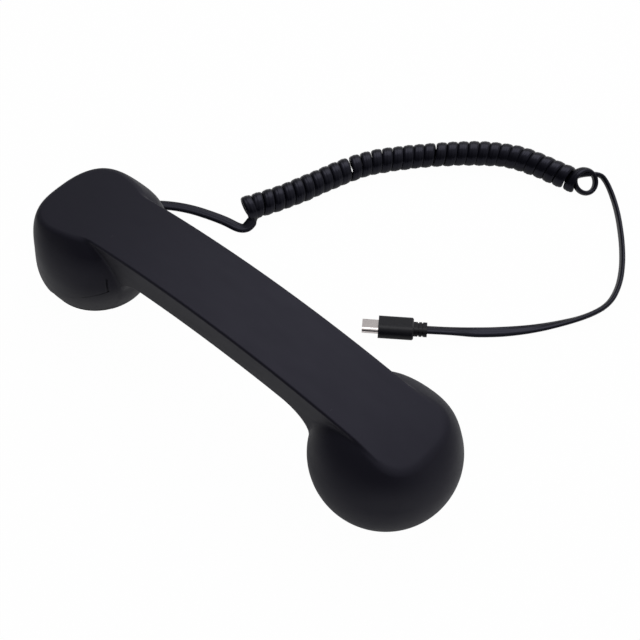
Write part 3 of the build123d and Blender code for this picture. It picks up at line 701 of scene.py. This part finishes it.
class HANDSET_OT_covers(bpy.types.Operator):
    """Build the back and front covers of the handset"""
    bl_idname = "handset.covers"
    bl_label = "Covers"

    def execute(self, context):
        form = context.scene.handset_form
        looks = context.scene.handset_finishes
        whole = closed_mesh("back_cover", covers_surface(form))
        front = closed_mesh("front_cover", covers_surface(form, form.collar))
        half_gap = form.parting_gap / 2
        back = merge_solids("DIFFERENCE", whole, front_zone(form, half_gap))
        front = merge_solids("INTERSECT", front, front_zone(form, -half_gap))
        lip = closed_mesh("lip", covers_surface(form, form.lip_depth))
        lip = merge_solids("INTERSECT", lip, front_zone(form, form.lip_reach))
        front = merge_solids("UNION", front, lip)
        front = merge_solids("DIFFERENCE", front, button_opening())
        plastic = soft_touch("soft_touch_plastic", looks.shell, looks.shell_rough, looks.lint)
        for cover, node in ((back, "back_shell"), (front, "front_shell")):
            smooth(cover.data, COVER_SHARP)
            dress(cover, plastic, replaces=[node])
        return {"FINISHED"}


class HANDSET_OT_fittings(bpy.types.Operator):
    """Give the caps, the button and the pieces inside their materials"""
    bl_idname = "handset.fittings"
    bl_label = "Fittings"

    def execute(self, context):
        looks = context.scene.handset_finishes
        cap_shade = [c * 0.9 for c in looks.shell]
        finishes = {
            "cap": soft_touch("cap_plastic", cap_shade, looks.shell_rough, looks.lint),
            "button": grained("button_plastic", [c * 1.2 for c in looks.shell], 0.5),
            "cloth": woven("acoustic_cloth", (0.012, 0.012, 0.013)),
            "speaker_metal": brushed("pressed_steel", (0.55, 0.55, 0.56), 0.35, 0.0),
            "cone": grained("cone_film", (0.05, 0.05, 0.055), 0.3, 900.0),
            "magnet": grained("magnet_plating", (0.42, 0.42, 0.44), 0.28, metallic=1.0),
            "seal": grained("seal_rubber", (0.012, 0.012, 0.013), 0.75),
            "capsule": brushed("capsule_metal", (0.7, 0.7, 0.71), 0.3, 0.4),
            "plunger": grained("plunger_plastic", (0.5, 0.04, 0.03), 0.35),
            "switch": grained("switch_plastic", (0.012, 0.012, 0.012), 0.4),
            "board": grained("solder_mask", (0.01, 0.12, 0.05), 0.3, 1200.0, spread=0.25),
            "chip": grained("chip_mould", (0.02, 0.02, 0.021), 0.6),
            "screw": brushed("screw_plating", (0.6, 0.6, 0.6), 0.3, 0.8),
            "wire_red": grained("red_sheath", (0.45, 0.02, 0.02), 0.35),
            "wire_white": grained("white_sheath", (0.75, 0.75, 0.73), 0.35),
            "cord": grained("inner_cord", looks.cord, 0.3),
            "relief": grained("relief_rubber", [c * 0.9 for c in looks.plug], 0.45, 2200.0,
                              specular_ior_level=0.22),
            "plug_body": grained("plug_plastic", looks.plug, 0.42, 2400.0, specular_ior_level=0.22),
            "plug_metal": brushed("plug_steel", looks.metal, 0.24, PLUG_HEADING),
            "plug_insert": grained("insert_plastic", (0.02, 0.02, 0.021), 0.4),
            "contact": brushed("contact_plating", (0.85, 0.62, 0.25), 0.25, PLUG_HEADING),
        }
        for row in frame["record"]["subparts"]:
            node = frame["nodes"][row["node"]]
            if row["material_slot"] in finishes:
                node.data.materials.clear()
                node.data.materials.append(finishes[row["material_slot"]])
        return {"FINISHED"}


LEAD_ROUTE = [
    (-108.0, 0.0, 9.5), (-113.2, 0.0, 9.5), (-117.8, 3.6, 7.6), (-120.0, 10.2, 4.7),
    (-119.0, 17.5, 2.4), (-114.6, 23.9, 1.3), (-108.0, 29.0, 1.25), (-100.0, 34.0, 1.25),
    (-92.0, 39.6, 1.25), (-84.0, 45.9, 1.25), (-75.5, 50.4, 1.25), (-66.5, 53.4, 1.25),
    (-58.9, 55.4, 1.25), (-53.3, 56.0, 1.25), (-50.7, 57.1, 1.2), (-49.5, 59.0, 1.7),
    (-49.5, 61.6, 2.6),
]
COIL_ROUTE = [
    (-54.6, 63.8, 5.65), (-48.6, 75.9, 5.65), (-44.3, 87.0, 5.65), (-40.5, 98.7, 5.65),
    (-36.6, 110.4, 5.65), (-31.5, 121.3, 5.65), (-24.7, 130.2, 5.65), (-17.8, 138.6, 5.65),
    (-10.2, 146.7, 5.65), (-2.5, 154.4, 5.65), (5.9, 161.4, 5.65), (15.1, 167.0, 5.65),
    (26.3, 169.9, 5.65), (38.2, 171.4, 5.65), (50.0, 173.8, 5.65),
]
TAIL_ROUTE = [
    (50.2, 182.3, 7.0), (54.3, 182.2, 5.0), (60.3, 178.7, 3.0), (67.2, 172.4, 2.5), (74.0, 164.6, 2.5),
    (80.4, 156.4, 2.5), (86.6, 147.0, 2.5), (91.4, 137.0, 2.5), (93.6, 126.2, 2.5), (90.2, 116.0, 2.0),
    (84.2, 106.2, 1.7), (77.0, 96.4, 1.3), (68.4, 86.8, 1.25), (60.0, 78.8, 1.5), (53.0, 71.0, 4.2),
    (45.4, 65.1, 4.2),
]
RING_TOPS = [
    1.0, 5.6, 10.6, 15.4, 20.2, 25.0, 29.8, 34.6, 39.3, 44.0, 48.7, 54.5, 59.6, 64.6, 69.5, 74.4, 79.2,
    84.0, 88.8, 94.3, 99.2, 104.0, 108.8, 113.6, 118.4, 123.2, 128.0, 132.8, 137.7, 142.6, 147.4, 152.2,
    156.4,
]
LOOP_CENTRE = (48.3, 175.8, 5.6)
TO_CAMERA = np.array([0.397, -0.452, 0.799])
EDGE_POINTS = 9
LAY_POINTS = 3.0
START_TURNS = [-0.08, 0.0, 0.25, 0.55]
START_PLACES = [1.9, 1.5, 0.8, 1.9]
END_TURN = 0.2
OPENS_BEFORE = 1.5
OPENS_OVER = 1.4
TURN_UNEVENNESS = 0.09 * MM
FIRST_FLARE = 0.5 * MM
AXIS_STEPS = 24
SECTION_POINTS = 40
SECTION_POWER = 0.9
GROOVE_PLACE = 0.36
GROOVE_WIDTH = 0.09


def spline_points(points, steps):
    """Points along the smooth spline of a list of control points."""
    curve = bpy.data.curves.new("route", "CURVE")
    curve.dimensions = "3D"
    spline = curve.splines.new("NURBS")
    spline.points.add(len(points) - 1)
    homogeneous = np.concatenate([np.asarray(points, float), np.ones((len(points), 1))], 1)
    spline.points.foreach_set("co", homogeneous.ravel())
    spline.order_u = 3
    spline.use_endpoint_u = True
    curve.resolution_u = steps
    spline.resolution_u = steps
    carrier = bpy.data.objects.new("route", curve)
    bpy.context.scene.collection.objects.link(carrier)
    bpy.context.view_layer.update()
    graph = bpy.context.evaluated_depsgraph_get()
    mesh = bpy.data.meshes.new_from_object(carrier.evaluated_get(graph))
    found = np.zeros(len(mesh.vertices) * 3)
    mesh.vertices.foreach_get("co", found)
    bpy.data.objects.remove(carrier)
    bpy.data.curves.remove(curve)
    bpy.data.meshes.remove(mesh)
    return found.reshape(-1, 3)


def coil_points(form):
    """Control points of the coil and the cord's outward side at each.

    A helix about the coil's own spline: near side, top, far side, underneath. The tops of its turns
    stand at set stops. After the last of them the turn opens into one larger loop that faces the
    front, with its centre and axes blended from the coil's.
    """
    axis = spline_points(np.array(COIL_ROUTE) * MM, AXIS_STEPS)
    run = np.concatenate([[0], np.cumsum(np.linalg.norm(np.diff(axis, axis=0), axis=1))])
    rings = len(RING_TOPS)
    first = START_TURNS[0]
    turn = first + np.arange(int((rings + END_TURN - first) * form.turn_points)) / form.turn_points
    known = np.concatenate([START_TURNS, np.arange(1, rings + 1) + 0.25])
    stops = np.concatenate([START_PLACES, RING_TOPS[1:], RING_TOPS[-1:]])
    place = np.interp(turn, known, stops) * MM
    random = np.random.default_rng(7)
    swell = np.interp(turn, np.arange(-1, rings + 2), random.normal(0, TURN_UNEVENNESS, rings + 3))
    heading = np.gradient(axis, axis=0)
    along = np.stack([np.interp(place, run, heading[:, k]) for k in range(3)], -1)
    along /= np.linalg.norm(along, axis=1, keepdims=True)
    centre = np.stack([np.interp(place, run, axis[:, k]) for k in range(3)], -1)
    opened = np.clip((turn - rings + OPENS_BEFORE) / OPENS_OVER, 0, 1)[:, None]
    opened = opened * opened * (3 - 2 * opened)
    radius = form.coil_radius + swell + FIRST_FLARE * np.clip(0.3 - turn, 0, 1)
    radius += (form.loop_radius - form.coil_radius) * opened[:, 0]
    radius /= math.cos(math.pi / form.turn_points)
    centre = centre * (1 - opened) + np.array(LOOP_CENTRE) * MM * opened
    side = np.cross(TO_CAMERA, (0, 0, 1.0))
    side /= np.linalg.norm(side)
    loop_up = np.cross(side, TO_CAMERA)
    near = np.cross(along, (0, 0, 1)) * (1 - opened) + side * opened
    up = np.array([0, 0, 1.0]) * (1 - opened) + loop_up * opened
    near /= np.linalg.norm(near, axis=1, keepdims=True)
    up /= np.linalg.norm(up, axis=1, keepdims=True)
    angle = turn * math.tau
    out = near * np.cos(angle)[:, None] + up * np.sin(angle)[:, None]
    return centre + out * radius[:, None], out


def section_outline(form):
    """Flat cord's section: an oval of a power over two, with two fine grooves along each face."""
    angle = np.linspace(0, math.tau, SECTION_POINTS, endpoint=False)
    across = np.sign(np.cos(angle)) * np.abs(np.cos(angle)) ** SECTION_POWER
    height = np.sign(np.sin(angle)) * np.abs(np.sin(angle)) ** SECTION_POWER
    groove = np.exp(-(((np.abs(across) - GROOVE_PLACE) / GROOVE_WIDTH) ** 2)) * np.sign(height)
    return np.stack([across * form.width / 2, height * form.thickness / 2 - groove * form.groove], -1)


def cord_lines(form):
    """The cord's control points from the handset to the plug, and the way its flat side faces."""
    coil, out = coil_points(form)
    lead = np.array(LEAD_ROUTE) * MM
    tail = np.array(TAIL_ROUTE) * MM
    up = np.array([0, 0, 1.0])
    lead_side = np.tile(up, (len(lead), 1))
    lead_side[-2:] = ((0.25, -0.1, 0.95), (0.55, -0.3, 0.75))
    heading = np.gradient(tail, axis=0)
    level = np.cross(TO_CAMERA, heading)
    level /= np.linalg.norm(level, axis=1, keepdims=True)
    lie = np.clip((np.arange(len(tail)) - EDGE_POINTS) / LAY_POINTS, 0, 1)[:, None]
    tail_side = level * (1 - lie) - up * lie
    tail_side[-2:] = -plug_side()
    return np.concatenate([lead, coil, tail]), np.concatenate([lead_side, out, tail_side])


def plug_side():
    """The way the plug's flat side faces: level, rolled a little about the plug's own line."""
    level = np.array([-math.sin(PLUG_HEADING), math.cos(PLUG_HEADING), 0])
    return np.array([0, 0, math.cos(PLUG_ROLL)]) - level * math.sin(PLUG_ROLL)


class HANDSET_OT_cord(bpy.types.Operator):
    """Build the flat curly cord from the handset to the plug"""
    bl_idname = "handset.cord"
    bl_label = "Cord"

    def execute(self, context):
        form = context.scene.handset_cord
        looks = context.scene.handset_finishes
        control, sides = cord_lines(form)
        path = spline_points(control, form.steps)
        share = np.linspace(0, len(control) - 2, len(path)) + 0.5
        share[0] = 0
        share[-1] = len(control) - 1
        index = np.arange(len(control))
        side = np.stack([np.interp(share, index, sides[:, k]) for k in range(3)], -1)
        along = np.gradient(path, axis=0)
        along /= np.linalg.norm(along, axis=1, keepdims=True)
        side -= along * (side * along).sum(1, keepdims=True)
        side /= np.linalg.norm(side, axis=1, keepdims=True)
        across = np.cross(along, side)
        outline = section_outline(form)
        rings = path[:, None] + across[:, None] * outline[None, :, 0:1]
        rings += side[:, None] * outline[None, :, 1:2]
        faces = grid_faces(len(path), len(outline)).tolist()
        count = len(outline)
        last = count * (len(path) - 1)
        faces += [list(range(count)), [last + k for k in range(count - 1, -1, -1)]]
        cord = new_piece("curly_cord", rings, faces)
        outward_faces(cord)
        smooth(cord.data, CORD_SHARP)
        jacket = grained("cord_jacket", looks.cord, looks.cord_rough, 1500.0, 0.00001,
                         specular_ior_level=0.24, specular_tint=(0.75, 0.75, 1.0, 1.0))
        dress(cord, jacket, replaces=["cord_lead", "cord_coil", "cord_tail"])
        return {"FINISHED"}


FLOOR_HALF = 1.5
FLOOR_DROP = 0.15 * MM
FLOOR_SEEN = 0.985
FLOOR_MIRRORED = 0.28
LAMP_SIZE = 0.7
LAMP_OFFSET = np.array([-0.2, 0.45, 0.7])
BRIGHT_SIDE = (0.15, 0.61, 0.778)


class HANDSET_OT_studio(bpy.types.Operator):
    """Build the floor, the lights and the camera"""
    bl_idname = "handset.studio"
    bl_label = "Studio"

    def execute(self, context):
        studio = context.scene.handset_studio
        scene = context.scene
        scene.view_settings.view_transform = "Standard"
        self.floor()
        self.world(scene, studio)
        aim = np.array([studio.aim_x, studio.aim_y, studio.aim_z])
        self.lamp(scene, "key_light", studio.key, LAMP_SIZE, aim + LAMP_OFFSET, aim)
        self.camera(scene, studio, aim)
        return {"FINISHED"}

    def floor(self):
        """White floor that keeps a soft shadow."""
        corners = np.array([(-1, -1, 0), (1, -1, 0), (1, 1, 0), (-1, 1, 0)]) * FLOOR_HALF
        floor = new_piece("floor", corners - np.array([0, 0, FLOOR_DROP]), [[0, 1, 2, 3]])
        finish = Finish(bpy.data.materials.new("floor_white"))
        seen = finish.add("ShaderNodeLightPath", output="Is Camera Ray")
        mirrored = finish.add("ShaderNodeLightPath", output="Is Glossy Ray")
        matte = finish.add("ShaderNodeBsdfDiffuse", None, {"Color": (0.8, 0.8, 0.8, 1)})
        glow = finish.add("ShaderNodeEmission", None, {"Color": (1, 1, 1, 1), "Strength": 1.0})
        share = seen * FLOOR_SEEN + mirrored * FLOOR_MIRRORED
        mixed = finish.add("ShaderNodeMixShader", None, {0: share, 1: matte, 2: glow})
        finish.add("ShaderNodeOutputMaterial", None, {"Surface": mixed})
        floor.data.materials.append(finish.owner)

    def world(self, scene, studio):
        """Soft light, brightest high behind the handset, dark in front; white for the camera."""
        sky = Finish(bpy.data.worlds.new("studio_world"))
        scene.world = sky.owner
        where = sky.add("ShaderNodeTexCoord", output="Generated")
        toward = sky.add("ShaderNodeVectorMath", {"operation": "DOT_PRODUCT"},
                         {0: where, 1: BRIGHT_SIDE}, "Value")
        level = sky.add("ShaderNodeMapRange", {"interpolation_type": "SMOOTHSTEP"},
                        {"Value": toward, "To Min": studio.dark, "To Max": studio.sky})
        lit = sky.add("ShaderNodeBackground", None, {"Strength": level})
        seen = sky.add("ShaderNodeBackground")
        camera_ray = sky.add("ShaderNodeLightPath", output="Is Camera Ray")
        mixed = sky.add("ShaderNodeMixShader", None, {0: camera_ray, 1: lit, 2: seen})
        sky.add("ShaderNodeOutputWorld", None, {"Surface": mixed})

    def lamp(self, scene, name, power, size, place, aim):
        """A square soft light turned to its aim."""
        data = bpy.data.lights.new(name, "AREA")
        data.energy = power
        data.size = size
        lamp = bpy.data.objects.new(name, data)
        scene.collection.objects.link(lamp)
        back = (place - aim) / np.linalg.norm(place - aim)
        lamp.matrix_world = facing(place, back)

    def camera(self, scene, studio, aim):
        """Camera at the photograph's angle."""
        level = math.cos(studio.elevation)
        back = np.array([math.sin(studio.azimuth) * level, -math.cos(studio.azimuth) * level,
                         math.sin(studio.elevation)])
        data = bpy.data.cameras.new("camera")
        data.lens = studio.lens
        data.sensor_width = 36.0
        data.clip_start = 0.01
        camera = bpy.data.objects.new("camera", data)
        scene.collection.objects.link(camera)
        camera.matrix_world = facing(aim + back * studio.distance, back)
        scene.camera = camera


def facing(place, back):
    """Matrix of something at a place that looks away from the back direction, upright."""
    right = np.cross((0, 0, 1.0), back)
    right /= np.linalg.norm(right)
    up = np.cross(back, right)
    matrix = np.eye(4)
    matrix[:3, 0], matrix[:3, 1], matrix[:3, 2], matrix[:3, 3] = right, up, back, place
    return Matrix(matrix.tolist())


class HANDSET_PT_build(bpy.types.Panel):
    """Lists the steps that build the handset"""
    bl_idname = "HANDSET_PT_build"
    bl_label = "Telephone Handset"
    bl_space_type = "VIEW_3D"
    bl_region_type = "UI"
    bl_category = "Handset"

    def draw(self, context):
        for step in STEPS:
            self.layout.operator(step.bl_idname)


GROUPS = {
    "handset_form": HandsetForm,
    "handset_cord": CordForm,
    "handset_finishes": Finishes,
    "handset_studio": Studio,
}
STEPS = (HANDSET_OT_studio, HANDSET_OT_fittings, HANDSET_OT_covers, HANDSET_OT_cord)


def register():
    """Registers the settings, the steps and the panel."""
    for name, group in GROUPS.items():
        bpy.utils.register_class(group)
        setattr(bpy.types.Scene, name, bpy.props.PointerProperty(type=group))
    for step in STEPS + (HANDSET_PT_build,):
        bpy.utils.register_class(step)


def unregister():
    """Takes the panel, the steps and the settings away again."""
    for step in (HANDSET_PT_build,) + STEPS[::-1]:
        bpy.utils.unregister_class(step)
    for name, group in GROUPS.items():
        delattr(bpy.types.Scene, name)
        bpy.utils.unregister_class(group)


def main():
    """Builds everything in order."""
    register()
    bpy.ops.handset.studio()
    bpy.ops.handset.fittings()
    bpy.ops.handset.covers()
    bpy.ops.handset.cord()
    bpy.context.view_layer.update()


if __name__ == "__main__":
    main()
